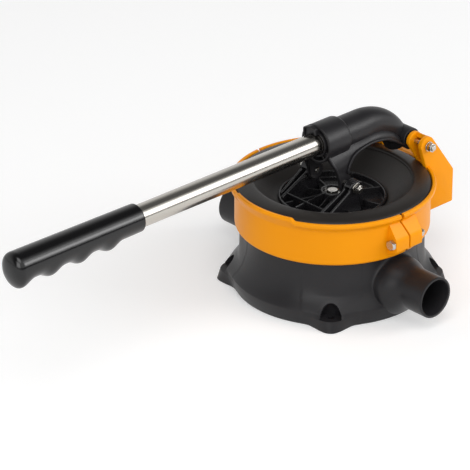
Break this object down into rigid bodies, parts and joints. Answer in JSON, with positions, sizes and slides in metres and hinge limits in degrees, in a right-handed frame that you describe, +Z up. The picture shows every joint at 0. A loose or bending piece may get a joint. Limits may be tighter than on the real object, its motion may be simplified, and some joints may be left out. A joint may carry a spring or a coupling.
{
  "type": "lever diaphragm hand pump",
  "caption": "Lever-operated diaphragm hand pump: black bell body with hose ports and flap valves, orange split clamp band with bracket, rubber diaphragm, steel tube handle with finger grip.",
  "frame": {"origin": "centre of the flat underside of the base, on the pump's axis", "axes": "+Z up along the pump's axis; the handle points to -X and its bracket stands at +X; the outlet points to -Y and the inlet to +Y"},
  "size_m": [0.487, 0.258, 0.1605],
  "materials": {
    "black_nylon": "satin moulded black nylon",
    "orange_nylon": "semi-gloss moulded orange nylon",
    "black_rubber": "matt moulded rubber",
    "black_vinyl": "glossy dipped vinyl",
    "polished_steel": "polished stainless tube",
    "stainless": "stainless fasteners",
    "acetal": "natural acetal"
  },
  "bodies": {
    "pump": {"pump_body": "black_nylon", "clamp_ring_front": "orange_nylon", "clamp_ring_rear": "orange_nylon", "clamp_bolt_outlet": "stainless", "clamp_nut_outlet": "stainless", "clamp_bolt_inlet": "stainless", "clamp_nut_inlet": "stainless", "diaphragm": "black_rubber", "pivot_bolt": "stainless", "pivot_nut": "stainless", "pivot_washer_head": "stainless", "pivot_washer_nut": "stainless", "outlet_valve_seat": "acetal", "outlet_hinge_pin": "stainless", "outlet_seat_screw_1": "stainless", "outlet_seat_screw_2": "stainless", "inlet_valve_seat": "acetal", "inlet_hinge_pin": "stainless", "inlet_seat_screw_1": "stainless", "inlet_seat_screw_2": "stainless"},
    "lever": {"lever_arm": "black_nylon", "handle_tube": "polished_steel", "handle_grip": "black_vinyl", "pivot_bush": "acetal", "link_bolt_outlet": "stainless", "link_washer_outlet": "stainless", "link_nut_outlet": "stainless", "link_bolt_inlet": "stainless", "link_washer_inlet": "stainless", "link_nut_inlet": "stainless"},
    "plate": {"diaphragm_plate": "black_nylon", "backing_plate": "black_nylon", "centre_bolt": "stainless", "centre_washer": "stainless", "centre_nut": "stainless"},
    "outlet_flap": {"outlet_valve_flap": "black_rubber"},
    "inlet_flap": {"inlet_valve_flap": "black_rubber"}
  },
  "joints": [
    {"name": "lever_swing", "type": "hinge", "parent": "pump", "child": "lever", "pos_m": [0.08, 0, 0.121], "axis": [0, 1, 0], "range_deg": [-9, 32]},
    {"name": "plate_slide", "type": "slide", "parent": "pump", "child": "plate", "axis": [0, 0, 1], "range_m": [-0.0132, 0.0466], "deforming": ["diaphragm"]},
    {"name": "outlet_flap_swing", "type": "hinge", "parent": "pump", "child": "outlet_flap", "pos_m": [0, -0.081, 0.0458], "axis": [-1, 0, 0], "range_deg": [0, 30]},
    {"name": "inlet_flap_swing", "type": "hinge", "parent": "pump", "child": "inlet_flap", "pos_m": [0, 0.0724, 0.0458], "axis": [-1, 0, 0], "range_deg": [0, 30]}
  ],
  "couplings": [
    {"joint": "plate_slide", "follows": "lever_swing", "m_per_rad": 0.0832}
  ]
}
